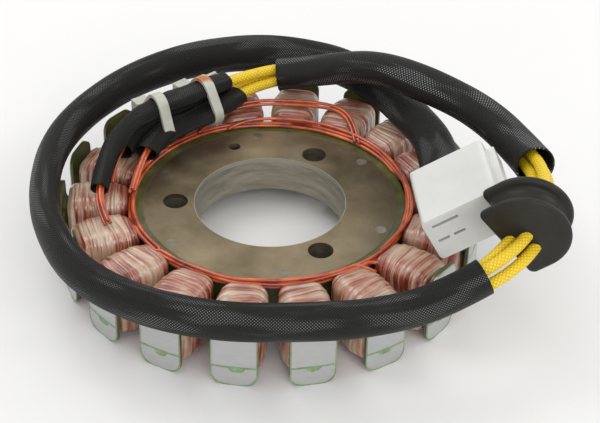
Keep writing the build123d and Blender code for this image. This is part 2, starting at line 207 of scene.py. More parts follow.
class Shader:
    """A material's node tree, with short calls for the nodes that the looks below use."""

    def __init__(self, name, **sockets):
        self.material = bpy.data.materials.new(name)
        self.material.use_nodes = True
        self.tree = self.material.node_tree
        self.bsdf = self.tree.nodes["Principled BSDF"]
        for key, value in sockets.items():
            self.bsdf.inputs[key.replace("_", " ")].default_value = value

    def node(self, kind, **settings):
        made = self.tree.nodes.new(kind)
        for key, value in settings.items():
            setattr(made, key, value)
        return made

    def put(self, value, socket):
        if isinstance(value, bpy.types.NodeSocket):
            self.tree.links.new(value, socket)
        else:
            socket.default_value = value

    def position(self):
        return self.node("ShaderNodeTexCoord").outputs["Object"]

    def uv(self, layer):
        return self.node("ShaderNodeUVMap", uv_map=layer).outputs["UV"]

    def split(self, vector):
        made = self.node("ShaderNodeSeparateXYZ")
        self.put(vector, made.inputs[0])
        return made.outputs

    def scale(self, vector, factors):
        made = self.node("ShaderNodeVectorMath", operation="MULTIPLY")
        self.put(vector, made.inputs[0])
        made.inputs[1].default_value = factors
        return made.outputs[0]

    def math(self, operation, first, second=0.0, third=0.0):
        made = self.node("ShaderNodeMath", operation=operation)
        self.put(first, made.inputs[0])
        self.put(second, made.inputs[1])
        self.put(third, made.inputs[2])
        return made.outputs[0]

    def noise(self, vector, scale, detail=4.0, rough=0.5):
        made = self.node("ShaderNodeTexNoise")
        self.put(vector, made.inputs["Vector"])
        made.inputs["Scale"].default_value = scale
        made.inputs["Detail"].default_value = detail
        made.inputs["Roughness"].default_value = rough
        return made.outputs[0]

    def ramp(self, factor, *stops):
        """Colours at the given places, from the lowest up."""
        made = self.node("ShaderNodeValToRGB")
        self.put(factor, made.inputs[0])
        elements = made.color_ramp.elements
        while len(elements) < len(stops):
            elements.new(1.0)
        for element, (place, colour) in zip(elements, stops):
            element.position = place
            element.color = (*colour, 1)
        return made.outputs[0]

    def step(self, value, low, high):
        """0 below low, 1 above high, smooth between."""
        made = self.node("ShaderNodeMapRange", interpolation_type="SMOOTHSTEP")
        self.put(value, made.inputs[0])
        made.inputs[1].default_value = low
        made.inputs[2].default_value = high
        return made.outputs[0]

    def mix(self, factor, first, second):
        made = self.node("ShaderNodeMix", data_type="RGBA")
        self.put(factor, made.inputs[0])
        self.put(first if isinstance(first, bpy.types.NodeSocket) else (*first, 1), made.inputs[6])
        self.put(second if isinstance(second, bpy.types.NodeSocket) else (*second, 1), made.inputs[7])
        return made.outputs[2]

    def blend(self, factor, first, second):
        made = self.node("ShaderNodeMix", data_type="FLOAT")
        self.put(factor, made.inputs[0])
        self.put(first, made.inputs[2])
        self.put(second, made.inputs[3])
        return made.outputs[0]

    def bump(self, height, distance, strength=1.0):
        made = self.node("ShaderNodeBump")
        made.inputs["Strength"].default_value = strength
        made.inputs["Distance"].default_value = distance
        self.put(height, made.inputs["Height"])
        self.tree.links.new(made.outputs[0], self.bsdf.inputs["Normal"])

    def colour(self, value):
        self.put(value, self.bsdf.inputs["Base Color"])

    def rough(self, value):
        self.put(value, self.bsdf.inputs["Roughness"])


OLIVE = (0.098, 0.103, 0.030)
OLIVE_DARK = (0.040, 0.052, 0.015)
OLIVE_PALE = (0.165, 0.170, 0.055)


def radius_of(shader, place):
    x, y, z = shader.split(place)
    squares = shader.math("ADD", shader.math("MULTIPLY", x, x), shader.math("MULTIPLY", y, y))
    return shader.math("SQRT", squares), z


def steel_colour(shader, place):
    """Stained, lightly brushed grey-brown steel of the hub, darker towards its +x side."""
    stain = shader.noise(place, 70, 6, 0.6)
    cloud = shader.noise(place, 22, 3, 0.5)
    tone = shader.math("ADD", shader.math("MULTIPLY", stain, 0.55), shader.math("MULTIPLY", cloud, 0.45))
    clean = shader.ramp(tone, (0.30, (0.090, 0.075, 0.042)), (0.45, (0.215, 0.168, 0.100)),
                        (0.60, (0.320, 0.258, 0.162)), (0.75, (0.42, 0.355, 0.245)))
    side, _, _ = shader.split(place)
    # the steel is made darker towards the hub's +x side, with a cloudy edge
    darker_at_plus_x = shader.step(shader.math("ADD", side, shader.math("MULTIPLY", cloud, 0.016)), 0.026, 0.042)
    return shader.mix(shader.math("MULTIPLY", darker_at_plus_x, 0.6), clean, (0.070, 0.060, 0.036))


def olive_colour(shader, place):
    return shader.ramp(shader.noise(place, 160, 4, 0.6), (0.3, OLIVE_DARK), (0.55, OLIVE), (0.8, OLIVE_PALE))


def ground_colour(shader, place):
    fine = shader.noise(shader.scale(place, (1, 1, 5)), 200, 3, 0.5)
    return shader.ramp(fine, (0.2, (0.47, 0.475, 0.465)), (0.75, (0.53, 0.535, 0.525)))


def plate_material():
    """End plate: bare inside, green epoxy on rim, arms and tabs, ground bright where the tab faces the rotor, with
    a painted highlight along the bore's edge.
    """
    shader = Shader("end_plate")
    place = shader.position()
    radius, _ = radius_of(shader, place)
    wobble = shader.math("MULTIPLY", shader.math("SUBTRACT", shader.noise(place, 240, 3), 0.5), 0.0016)
    rim = shader.step(shader.math("ADD", radius, wobble), BARE_R - 0.0009, BARE_R + 0.0002)
    ground = shader.step(radius, OUTER_R - 0.00018, OUTER_R - 0.0001)
    coated = shader.mix(rim, steel_colour(shader, place), olive_colour(shader, place))
    # painted highlight: a pale ring at the bore's edge stands in for light caught on its chamfer
    painted_bore_highlight = shader.math("SUBTRACT", 1.0, shader.step(radius, BORE_R + 0.00010, BORE_R + 0.00020))
    coated = shader.mix(painted_bore_highlight, coated, (0.42, 0.40, 0.33))
    shader.colour(shader.mix(ground, coated, ground_colour(shader, place)))
    bare = shader.math("MULTIPLY", shader.math("SUBTRACT", 1.0, rim), 0.8)
    shader.put(shader.math("MAXIMUM", bare, shader.math("MULTIPLY", ground, 0.55)), shader.bsdf.inputs["Metallic"])
    wear_and_glint = shader.step(shader.noise(place, 90, 5, 0.65), 0.35, 0.7)
    shader.rough(shader.blend(rim, shader.blend(wear_and_glint, 0.34, 0.52), 0.30))
    shader.bump(shader.noise(place, 900, 4, 0.7), 0.00006, 0.5)
    return shader.material


def core_material():
    """Laminations: green coat between the poles, ground pole faces, machined bore and holes."""
    shader = Shader("core_stack")
    place = shader.position()
    radius, height = radius_of(shader, place)
    ground = shader.step(radius, OUTER_R - 0.00025, OUTER_R - 0.00012)
    inside = shader.math("SUBTRACT", 1.0, shader.step(radius, BARE_R, BARE_R + 0.0005))
    layers = shader.math("SINE", shader.math("MULTIPLY", height, 2 * math.pi / 0.0005))
    machined = shader.ramp(shader.noise(shader.scale(place, (1, 1, 5)), 130, 4, 0.6),
                           (0.3, (0.24, 0.215, 0.165)), (0.7, (0.40, 0.37, 0.30)))
    coated = shader.mix(inside, olive_colour(shader, place), machined)
    shader.colour(shader.mix(ground, coated, ground_colour(shader, place)))
    metal = shader.math("MAXIMUM", shader.math("MULTIPLY", inside, 0.85), shader.math("MULTIPLY", ground, 0.55))
    shader.put(metal, shader.bsdf.inputs["Metallic"])
    shader.rough(shader.blend(ground, 0.36, 0.42))
    shader.bump(layers, 0.00001, 0.12)
    return shader.material


def rivet_material():
    shader = Shader("rivets", Metallic=0.8)
    place = shader.position()
    shader.colour(shader.ramp(shader.noise(place, 300, 4, 0.6), (0.3, (0.16, 0.14, 0.10)),
                              (0.7, (0.36, 0.33, 0.27))))
    shader.rough(0.48)
    shader.bump(shader.noise(place, 1500, 3), 0.0001, 0.5)
    return shader.material


def seam_material():
    shader = Shader("seam_epoxy", Coat_Weight=0.3)
    place = shader.position()
    shader.colour(shader.ramp(shader.noise(place, 500, 3), (0.3, (0.13, 0.24, 0.09)), (0.7, (0.27, 0.40, 0.20))))
    shader.rough(0.35)
    shader.bump(shader.noise(place, 1800, 3), 0.0001, 0.4)
    return shader.material


def winding_material():
    """Magnet wire under clear varnish: red-brown turns, cream where varnish lies thick, darkest by the hub."""
    shader = Shader("varnished_winding", Coat_Weight=1.0, Coat_Roughness=0.06, Specular_IOR_Level=0.5)
    wind = shader.uv("wind")
    place = shader.position()
    radius, _ = radius_of(shader, place)
    turns = shader.noise(shader.scale(wind, (0.8, 0.05, 1)), 1.0, 3, 0.7)
    fibres = shader.noise(shader.scale(wind, (3.2, 0.10, 1)), 1.0, 3, 0.6)
    pools = shader.noise(place, 105, 3, 0.5)
    tone = shader.math("ADD", shader.math("MULTIPLY", turns, 0.55), shader.math("MULTIPLY", fibres, 0.22))
    tone = shader.math("ADD", tone, shader.math("MULTIPLY", pools, 0.42))
    body = shader.ramp(tone, (0.47, (0.13, 0.022, 0.014)), (0.53, (0.33, 0.070, 0.036)),
                       (0.575, (0.45, 0.200, 0.125)), (0.62, (0.50, 0.33, 0.23)), (0.71, (0.60, 0.47, 0.335)))
    reach = shader.math("ADD", radius, shader.math("MULTIPLY", turns, 0.005))
    near_hub = shader.math("SUBTRACT", 1.0, shader.step(reach, 0.0402, 0.0432))
    ends = shader.ramp(fibres, (0.35, (0.10, 0.012, 0.008)), (0.65, (0.36, 0.075, 0.040)))
    shader.colour(shader.mix(shader.math("MULTIPLY", near_hub, 0.85), body, ends))
    shader.rough(0.28)
    shader.bump(shader.noise(shader.scale(wind, (2.4, 0.12, 1)), 1.0, 3), 0.0004, 0.45)
    return shader.material


def enamel_material():
    shader = Shader("enamelled_wire", Metallic=0.1, Coat_Weight=0.9, Coat_Roughness=0.08)
    place = shader.position()
    shader.colour(shader.ramp(shader.noise(place, 180, 4, 0.6), (0.3, (0.24, 0.022, 0.010)),
                              (0.5, (0.54, 0.080, 0.018)), (0.75, (0.76, 0.170, 0.035))))
    shader.rough(0.3)
    shader.bump(shader.noise(place, 1200, 2), 0.00008, 0.4)
    return shader.material


def braid_height(shader, wind, around, along):
    """Two sets of yarns crossing over and under: wind's u runs round the sleeve and v along it, in millimetres."""
    u, v, _ = shader.split(wind)
    turn = shader.math("MULTIPLY", u, around * math.pi)
    run = shader.math("MULTIPLY", v, along * math.pi)
    left = shader.math("ABSOLUTE", shader.math("SINE", shader.math("ADD", turn, run)))
    right = shader.math("ABSOLUTE", shader.math("SINE", shader.math("SUBTRACT", turn, run)))
    return shader.math("MULTIPLY", left, right)


def sleeve_material(name, around, along, painted_glint_strength):
    """Black varnished glass braid: dull between the yarns, with small pale glints painted on the yarn crowns as
    highlights.
    """
    shader = Shader(name, Specular_IOR_Level=0.22)
    wind = shader.uv("wind")
    height = braid_height(shader, wind, around, along)
    # random stripes along the sleeve: they vary the black's tone and set where the painted glints go
    patch = shader.noise(shader.scale(wind, (6.5, 0.035, 1)), 1.0, 2, 0.5)
    # painted highlight: pale flecks on the yarn crowns, in stripes along the sleeve, stand in for glints of light
    glint = shader.math("MULTIPLY", shader.step(height, 0.66, 0.95), shader.step(patch, 0.49, 0.60))
    base = shader.ramp(patch, (0.3, (0.0062, 0.0061, 0.0052)), (0.7, (0.0125, 0.0123, 0.0106)))
    shader.colour(shader.mix(shader.math("MULTIPLY", glint, painted_glint_strength), base, (0.34, 0.35, 0.36)))
    shader.rough(shader.blend(height, 0.60, 0.30))
    shader.bump(height, 0.00014, 1.0)
    return shader.material


def lead_material():
    shader = Shader("yellow_braid", Coat_Weight=0.15, Coat_Roughness=0.35)
    wind = shader.uv("wind")
    height = braid_height(shader, wind, 8, 0.9)
    soil = shader.noise(shader.position(), 210, 4, 0.6)
    # painted shade: the yellow darkens between the yarns and lightens on their crowns
    clean = shader.ramp(height, (0.05, (0.74, 0.47, 0.004)), (0.5, (0.86, 0.60, 0.008)),
                        (0.95, (0.94, 0.74, 0.03)))
    shader.colour(shader.mix(shader.step(soil, 0.55, 0.8), clean, (0.72, 0.46, 0.02)))
    shader.rough(0.5)
    shader.bump(height, 0.0002, 0.8)
    return shader.material


def rubber_material():
    shader = Shader("moulded_rubber", Specular_IOR_Level=0.25)
    place = shader.position()
    shader.colour(shader.ramp(shader.noise(place, 120, 5, 0.65), (0.3, (0.014, 0.0135, 0.011)),
                              (0.7, (0.026, 0.025, 0.020))))
    shader.rough(shader.blend(shader.noise(place, 60, 3), 0.30, 0.55))
    shader.bump(shader.noise(place, 1400, 3, 0.7), 0.00005, 0.5)
    return shader.material


def nylon_material():
    shader = Shader("white_nylon", Subsurface_Weight=0.25, Subsurface_Scale=0.003, Coat_Weight=0.1)
    shader.bsdf.inputs["Subsurface Radius"].default_value = (1.0, 0.95, 0.85)
    place = shader.position()
    shader.colour(shader.ramp(shader.noise(place, 90, 3), (0.3, (0.62, 0.625, 0.60)), (0.7, (0.69, 0.695, 0.67))))
    shader.rough(shader.blend(shader.noise(place, 200, 3), 0.28, 0.45))
    shader.bump(shader.noise(place, 700, 2), 0.00006, 0.4)
    return shader.material


def tie_material():
    """Natural nylon, browned where it has been hot."""
    shader = Shader("tie_nylon", Subsurface_Weight=0.3, Subsurface_Scale=0.002)
    place = shader.position()
    x, _, z = shader.split(place)
    hot = shader.math("MULTIPLY", shader.step(x, -0.026, -0.022), shader.step(z, 0.0285, 0.034))
    hot = shader.math("MULTIPLY", hot, shader.step(shader.noise(place, 230, 3), 0.42, 0.6))
    clean = shader.ramp(shader.noise(place, 150, 3), (0.3, (0.42, 0.43, 0.36)), (0.7, (0.56, 0.57, 0.50)))
    shader.colour(shader.mix(hot, clean, (0.42, 0.15, 0.03)))
    shader.rough(0.4)
    shader.bump(shader.noise(place, 900, 2), 0.00006, 0.4)
    return shader.material


def brass_material():
    shader = Shader("terminal_brass", Metallic=1.0)
    place = shader.position()
    shader.colour(shader.ramp(shader.noise(place, 250, 3), (0.3, (0.45, 0.36, 0.18)), (0.7, (0.66, 0.56, 0.32))))
    shader.rough(0.35)
    return shader.material


def floor_material():
    shader = Shader("floor")
    place = shader.position()
    shader.colour(shader.ramp(shader.noise(place, 14, 3), (0.3, (0.825, 0.82, 0.812)), (0.7, (0.84, 0.835, 0.827))))
    shader.rough(0.6)
    return shader.material


# --- Mesh helpers -------------------------------------------------------------------------------

def on_body(mesh, material, smooth, replaced):
    """A piece on the body with this mesh, its material, slot and the CAD nodes that it stands for."""
    mesh.materials.append(material)
    mesh.polygons.foreach_set("use_smooth", [smooth] * len(mesh.polygons))
    piece = bpy.data.objects.new(mesh.name, mesh)
    bpy.context.scene.collection.objects.link(piece)
    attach(piece, BODY)
    if replaced:
        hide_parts(*replaced)
    return piece


def new_piece(name, verts, faces, material, uvs=None, smooth=True, replaced=()):
    """A piece on the body from points, faces and each face corner's place in the winding."""
    mesh = bpy.data.meshes.new(name)
    mesh.from_pydata([tuple(v) for v in verts], [], [tuple(f) for f in faces])
    if uvs is not None:
        layer = mesh.uv_layers.new(name="wind")
        corners = np.array([corner for face in uvs for corner in face], np.float32)
        layer.data.foreach_set("uv", corners.reshape(-1))
    mesh.update()
    return on_body(mesh, material, smooth, replaced)


def grid_faces(rows, columns, start=0, flip=False):
    """Faces of a grid that closes round its columns, and each face's corners in grid steps."""
    faces, corners = [], []
    for i in range(rows - 1):
        for j in range(columns):
            k = (j + 1) % columns
            face = [start + i * columns + j, start + i * columns + k, start + (i + 1) * columns + k,
                    start + (i + 1) * columns + j]
            steps = [(j, i), (j + 1, i), (j + 1, i + 1), (j, i + 1)]
            if flip:
                face.reverse()
                steps.reverse()
            faces.append(face)
            corners.append(steps)
    return faces, corners


def spline_points(points, name):
    """Points along the NURBS curve that has these control points."""
    data = bpy.data.curves.new(name, "CURVE")
    data.dimensions = "3D"
    data.resolution_u = 24
    spline = data.splines.new("NURBS")
    spline.points.add(len(points) - 1)
    for point, place in zip(spline.points, points):
        point.co = (*place, 1)
    spline.order_u = 3
    spline.use_endpoint_u = True
    curve = bpy.data.objects.new(name, data)
    bpy.context.scene.collection.objects.link(curve)
    mesh = bpy.data.meshes.new_from_object(curve)
    line = np.array([v.co[:] for v in mesh.vertices])
    bpy.data.objects.remove(curve)
    bpy.data.meshes.remove(mesh)
    return line


def even(line, step):
    """The same line with points about a step apart, and each point's distance from the start."""
    lengths = np.concatenate(([0], np.cumsum(np.linalg.norm(np.diff(line, axis=0), axis=1))))
    count = max(3, int(lengths[-1] / step) + 1)
    at = np.linspace(0, lengths[-1], count)
    return np.column_stack([np.interp(at, lengths, line[:, axis]) for axis in range(3)]), at


def frames(line):
    """At each point: the direction, the level direction to the left, and the one square to both."""
    way = np.gradient(line, axis=0)
    way /= np.linalg.norm(way, axis=1)[:, None]
    left = np.cross((0, 0, 1), way)
    left /= np.linalg.norm(left, axis=1)[:, None]
    return way, left, np.cross(way, left)


def smooth_noise(count, spacing, size):
    """A smooth random line of this many values, with a knot every spacing values."""
    knots = noise_rng.uniform(-size, size, max(4, count // spacing + 3))
    at = np.linspace(0, len(knots) - 1.001, count)
    low = at.astype(int)
    part = at - low
    part = part * part * (3 - 2 * part)
    return knots[low] * (1 - part) + knots[low + 1] * part


def ring_points(line, half_w, half_h, turn, sides, bulge=None):
    """Rings of an oval along a line. Turn rolls the oval, from level; bulge is added to the radius."""
    _, left, over = frames(line)
    angles = np.arange(sides) * 2 * np.pi / sides
    cos_turn, sin_turn = np.cos(turn)[:, None], np.sin(turn)[:, None]
    wide = left * cos_turn + over * sin_turn
    high = over * cos_turn - left * sin_turn
    grow = np.ones((len(line), sides)) if bulge is None else 1 + bulge
    x = np.cos(angles)[None, :] * half_w[:, None] * grow
    y = np.sin(angles)[None, :] * half_h[:, None] * grow
    return line[:, None, :] + wide[:, None, :] * x[:, :, None] + high[:, None, :] * y[:, :, None]


def tube_piece(name, line, at, half_w, half_h, turn, sides, material, wall, bulge, replaced):
    """A tube along a line: closed at its ends, or hollow with this wall."""
    rings = ring_points(line, half_w, half_h, turn, sides, bulge)
    rows = len(line)
    verts = list(rings.reshape(-1, 3))
    faces, steps = grid_faces(rows, sides)
    if wall:
        inner = ring_points(line, half_w - wall, half_h - wall, turn, sides, bulge)
        verts += list(inner.reshape(-1, 3))
        inner_faces, inner_steps = grid_faces(rows, sides, rows * sides, flip=True)
        faces += inner_faces
        steps += inner_steps
        for row in (0, rows - 1):
            for j in range(sides):
                k = (j + 1) % sides
                a, b = row * sides + j, row * sides + k
                face = [b, a, a + rows * sides, b + rows * sides]
                faces.append(face if row == 0 else face[::-1])
                steps.append([(j + 1, row), (j, row), (j, row), (j + 1, row)])
    else:
        for row in (0, rows - 1):
            verts.append(line[row])
            for j in range(sides):
                k = (j + 1) % sides
                face = [row * sides + k, row * sides + j, len(verts) - 1]
                faces.append(face if row == 0 else face[::-1])
                steps.append([(j + 1, row), (j, row), (j, row)])
    uvs = [[(u / sides, at[min(v, rows - 1)] / MM) for u, v in corner] for corner in steps]
    return new_piece(name, verts, faces, material, uvs, replaced=replaced)


# --- Cords ----------------------------------------------------------------------------------------

def side_step(points, side, lift):
    """The route moved sideways (to the left of travel) and up, mitred at each corner, without its ends."""
    moved = []
    for index in range(1, len(points) - 1):
        here = Vector(points[index])
        way_in = here - Vector(points[index - 1])
        way_out = Vector(points[index + 1]) - here
        left_in = Vector((-way_in.y, way_in.x, 0)).normalized()
        left_out = Vector((-way_out.y, way_out.x, 0)).normalized()
        mitre = left_in + left_out
        moved.append(here + mitre * (2 * side / mitre.dot(mitre)) + Vector((0, 0, lift)))
    return moved


def route_part(first, last, slid, ends_on):
    """The route from the middle of one run to the middle of another, both ends slid outwards."""
    start = (Vector(ROUTE[first]) + Vector(ROUTE[first + 1])) / 2
    start += (Vector(ROUTE[first]) - start).normalized() * slid
    end = (Vector(ROUTE[last - 1]) + Vector(ROUTE[last])) / 2
    end += (Vector(ROUTE[last]) - end).normalized() * ends_on
    return [start, *ROUTE[first + 1:last], end]


def housing_place():
    turn = Matrix.Rotation(HOUSING_TURN[0], 4, "Y") @ Matrix.Rotation(HOUSING_TURN[1], 4, "Z")
    return Matrix.Translation(HOUSING_CENTRE) @ turn


def make_sleeve(name, first, last, slid, ends_on, half_w, half_h, turn_at, material, length, width):
    """A braided sleeve, oval where it is squeezed, following the leads' route."""
    line, at = even(spline_points(route_part(first, last, slid, ends_on), name), 0.9 * MM)
    share = at / at[-1]
    places, turns = zip(*turn_at)
    turn = np.radians(np.interp(share, places, turns))
    squeeze = smooth_noise(len(line), 16, 0.03)
    sides = 44
    wrinkle = np.array([smooth_noise(len(line), 12, 0.012) for _ in range(sides)]).T
    wrinkle = (wrinkle + np.roll(wrinkle, 1, 1) + np.roll(wrinkle, 2, 1)) / 3
    flare = 0.06 * np.exp(-at / 0.004) + 0.30 * np.exp(-(at[-1] - at) / 0.009)
    wide = half_w * (1 + squeeze)
    high = half_h * (1 - squeeze + flare)
    piece = tube_piece(name + "_braid", line, at, wide, high, turn, sides, material, 0.45 * MM,
                       wrinkle, replaced=(name,))


def make_lead(index, material):
    """One braided lead, from its splice to its terminal."""
    side, lift = LEAD_PLACES[index]
    end = housing_place() @ Vector(LEAD_ENDS[index])
    points = [Vector(LEAD_STARTS[index]), *side_step(ROUTE, side, lift), end]
    points[FAN_POINT] += Vector(LEAD_FAN[index])
    line, at = even(spline_points(points, f"lead_line_{index + 1}"), 0.32 * MM)
    sides = 20
    angles = np.arange(sides) * 2 * np.pi / sides
    run = at[:, None] / MM * 0.9 * np.pi
    turn = angles[None, :] * 4
    yarn = np.abs(np.sin(turn + run) * np.sin(turn - run))
    size = np.full(len(line), LEAD_D / 2 * 0.99)
    piece = tube_piece(f"lead_{index + 1}_braid", line, at, size, size, np.zeros(len(line)), sides, material,
                       0.0, 0.05 * yarn - 0.02, replaced=(f"lead_{index + 1}",))


# --- Connector, grommet and ties --------------------------------------------------------------------

def bevelled_copy(name, node, material, width):
    """A new mesh from a CAD node's shape, with its edges rounded."""
    bm = bmesh.new()
    bm.from_mesh(nodes[node].data)
    bmesh.ops.remove_doubles(bm, verts=bm.verts, dist=0.01 * MM)
    bmesh.ops.dissolve_limit(bm, angle_limit=math.radians(2), verts=bm.verts, edges=bm.edges)
    sharp = [e for e in bm.edges if len(e.link_faces) == 2 and e.calc_face_angle(0) > math.radians(35)]
    bmesh.ops.bevel(bm, geom=sharp, offset=width, segments=2, profile=0.5, affect="EDGES", clamp_overlap=True)
    mesh = bpy.data.meshes.new(name)
    bm.to_mesh(mesh)
    bm.free()
    mesh.materials.clear()
    piece = on_body(mesh, material, True, (node,))
    weighted = piece.modifiers.new("normals", "WEIGHTED_NORMAL")
    weighted.keep_sharp = True
    return piece


def dress(node, material):
    """Gives a CAD node's own mesh this material."""
    nodes[node].data.materials.clear()
    nodes[node].data.materials.append(material)


def d_outline(radius, chord, corner):
    """A half circle with straight sides down to a flat, the two corners rounded, from the flat's middle on."""
    points = [Vector(((radius - corner) * step / 9, -chord, 0)) for step in range(10)]
    for step in range(1, 7):
        turn = math.pi / 2 * step / 7
        points.append(Vector((radius - corner * (1 - math.sin(turn)), -chord + corner * (1 - math.cos(turn)), 0)))
    points += [Vector((radius, -chord + corner + (chord - corner) * step / 5, 0)) for step in range(5)]
    for step in range(61):
        turn = math.pi * step / 60
        points.append(Vector((radius * math.cos(turn), radius * math.sin(turn), 0)))
    return points + [Vector((-p.x, p.y, 0)) for p in reversed(points[1:21])]


def make_grommet(material):
    """Two rounded flanges with a groove between them; the back face is flat and the front face is a shallow dish, a
    little raised in its middle.
    """
    z_axis = GROMMET_AXIS.normalized()
    x_axis = (GROMMET_FLAT - z_axis * GROMMET_FLAT.dot(z_axis)).normalized()
    y_axis = z_axis.cross(x_axis)
    # depth along the axis and how far the outline is drawn in, from the back face to the front
    profile = [(-4.75, 8.5), (-4.75, 4.6), (-4.8, 1.6), (-4.7, 0.6), (-4.3, 0.1), (-3.8, 0.0), (-3.2, 0.15),
               (-2.85, 0.5), (-2.6, 1.2), (-2.4, 2.0), (-1.4, 2.4), (0.0, 2.45), (1.4, 2.4), (2.3, 2.0), (2.6, 1.2),
               (2.85, 0.5), (3.2, 0.15), (3.8, 0.0), (4.3, 0.1), (4.7, 0.6), (4.8, 1.5), (4.5, 2.9), (4.35, 4.6),
               (4.5, 6.4), (4.55, 8.5)]
    outline = d_outline(GROMMET_R, GROMMET_CHORD, 0.0016)
    sides = len(outline)
    verts = []
    for depth, inset in profile:
        share = 1 - inset * MM / GROMMET_R
        for p in outline:
            spot = Vector((p.x * share, p.y * share, 0))
            verts.append(GROMMET_CENTRE + x_axis * spot.x + y_axis * spot.y + z_axis * depth * MM)
    faces, _ = grid_faces(len(profile), sides)
    for row in (0, len(profile) - 1):
        middle = GROMMET_CENTRE + z_axis * profile[row][0] * MM
        verts.append(middle)
        for j in range(sides):
            face = [row * sides + (j + 1) % sides, row * sides + j, len(verts) - 1]
            faces.append(face if row == 0 else face[::-1])
    piece = new_piece("grommet_rubber", verts, faces, material, replaced=("grommet",))
    rounding = piece.modifiers.new("smooth", "SUBSURF")
    rounding.levels = rounding.render_levels = 1
    return piece


# --- Windings -------------------------------------------------------------------------------------------

def coil_rows():
    """Radius, thickness over the tooth and turn count at each row from the hub end to the shoe end."""
    per_turn = 7
    rows = []
    for step in range(TURNS * per_turn + 1):
        share = step / (TURNS * per_turn)
        body = 3.95 - 1.5 * abs(2 * share - 1) ** 3 - 0.45 * (1 - share)
        rows.append((COIL_INNER + (COIL_OUTER - COIL_INNER) * share, body * MM, share * TURNS))
    return rows


def rounded_rectangle(half_w, half_h, corner, sides):
    """Points evenly round a rounded rectangle, from the middle of its right side."""
    straight_w, straight_h = half_w - corner, half_h - corner
    quarter = corner * math.pi / 2
    across, down = 2 * straight_w, 2 * straight_h
    stops = [straight_h, quarter, across, quarter, down, quarter, across, quarter, straight_h]
    total = sum(stops)
    points = []
    for index in range(sides):
        at = total * index / sides
        part = 0
        while at > stops[part]:
            at -= stops[part]
            part += 1
        turn = at / corner
        if part == 0:
            points.append((half_w, at))
        elif part == 1:
            points.append((straight_w + corner * math.cos(turn), straight_h + corner * math.sin(turn)))
        elif part == 2:
            points.append((straight_w - at, half_h))
        elif part == 3:
            points.append((-straight_w - corner * math.sin(turn), straight_h + corner * math.cos(turn)))
        elif part == 4:
            points.append((-half_w, straight_h - at))
        elif part == 5:
            points.append((-straight_w - corner * math.cos(turn), -straight_h - corner * math.sin(turn)))
        elif part == 6:
            points.append((-straight_w + at, -half_h))
        elif part == 7:
            points.append((straight_w + corner * math.sin(turn), -straight_h - corner * math.cos(turn)))
        else:
            points.append((half_w, -straight_h + at))
    return np.array(points)


def make_coil(number, material):
    """One wound coil: the outer layer's turns, slanting a little and uneven, over its tooth."""
    sides = 84
    rows = coil_rows()
    slant = noise_rng.uniform(-2.2, 2.2)
    cross = noise_rng.uniform(0.25, 0.75)
    lump_phase = noise_rng.uniform(0, 6.28, 3)
    around = np.arange(sides) / sides * 2 * np.pi
    verts, turn_rows = [], []
    for radius, thick, turn in rows:
        share = turn / TURNS
        lean = slant * np.sin(around + lump_phase[0])
        lean = lean + 1.1 * np.exp(-((share - cross) / 0.12) ** 2) * np.sin(2 * around)
        phase = turn + lean
        ridge = np.abs(np.cos(np.pi * phase)) ** 0.8
        uneven = 0.16 * np.sin(phase * 2.4 + lump_phase[1]) + 0.18 * np.sin(2 * around + share * 5 + lump_phase[2])
        end = min(share, 1 - share) * TURNS
        settle = 0.45 * MM * max(0.0, 1 - end) ** 2
        grown = thick + (0.15 * ridge + 0.6 * uneven - 0.12) * MM - settle
        outline = rounded_rectangle(TOOTH_W / 2 + thick, ARM_H / 2 + thick, thick * 0.98, sides)
        direction = outline / np.linalg.norm(outline, axis=1)[:, None]
        spots = outline + direction * (grown - thick)[:, None]
        verts += [(radius, x, MID_H + y) for x, y in spots]
        turn_rows.append(phase)
    faces, steps = grid_faces(len(rows), sides)
    turn_rows = np.array(turn_rows)
    uvs = [[(turn_rows[v, u % sides], u / sides * 40 + number * 57) for u, v in corner] for corner in steps]
    base = len(verts)
    for row, radius in ((0, COIL_INNER), (len(rows) - 1, COIL_OUTER)):
        collar = rounded_rectangle(TOOTH_W / 2 + 0.02 * MM, ARM_H / 2 + 0.02 * MM, 0.3 * MM, sides)
        verts += [(radius, x, MID_H + y) for x, y in collar]
        for j in range(sides):
            k = (j + 1) % sides
            face = [row * sides + k, row * sides + j, base + j, base + k]
            faces.append(face if row == 0 else face[::-1])
            spot = [(turn_rows[row, k], k / sides * 40), (turn_rows[row, j], j / sides * 40),
                    (turn_rows[row, j] + 3, j / sides * 40), (turn_rows[row, k] + 3, k / sides * 40)]
            uvs.append(spot if row == 0 else spot[::-1])
        base += sides
    angle = math.radians(20 * (number - 1))
    turned = np.array(verts) @ np.array(((math.cos(angle), math.sin(angle), 0),
                                         (-math.sin(angle), math.cos(angle), 0), (0, 0, 1)))
    return new_piece(f"winding_{number:02d}", turned, faces, material, uvs,
                     replaced=(f"coil_{number:02d}",))


def wire_piece(name, lines, diameter, material, replaced=()):
    """Several round wires in one piece."""
    sides = 10
    verts, faces, uvs = [], [], []
    for line in lines:
        line, at = even(np.array(line), 0.6 * MM)
        size = np.full(len(line), diameter / 2)
        rings = ring_points(line, size, size, np.zeros(len(line)), sides)
        start = len(verts)
        verts += list(rings.reshape(-1, 3))
        grid, steps = grid_faces(len(line), sides, start)
        faces += grid
        uvs += [[(u / sides, at[v] / MM) for u, v in corner] for corner in steps]
        for row, flip in ((0, False), (len(line) - 1, True)):
            cap = [start + row * sides + j for j in range(sides)]
            faces.append(cap if flip else cap[::-1])
            uvs.append([(0.5, at[row] / MM)] * sides)
    return new_piece(name, verts, faces, material, uvs, replaced=replaced)


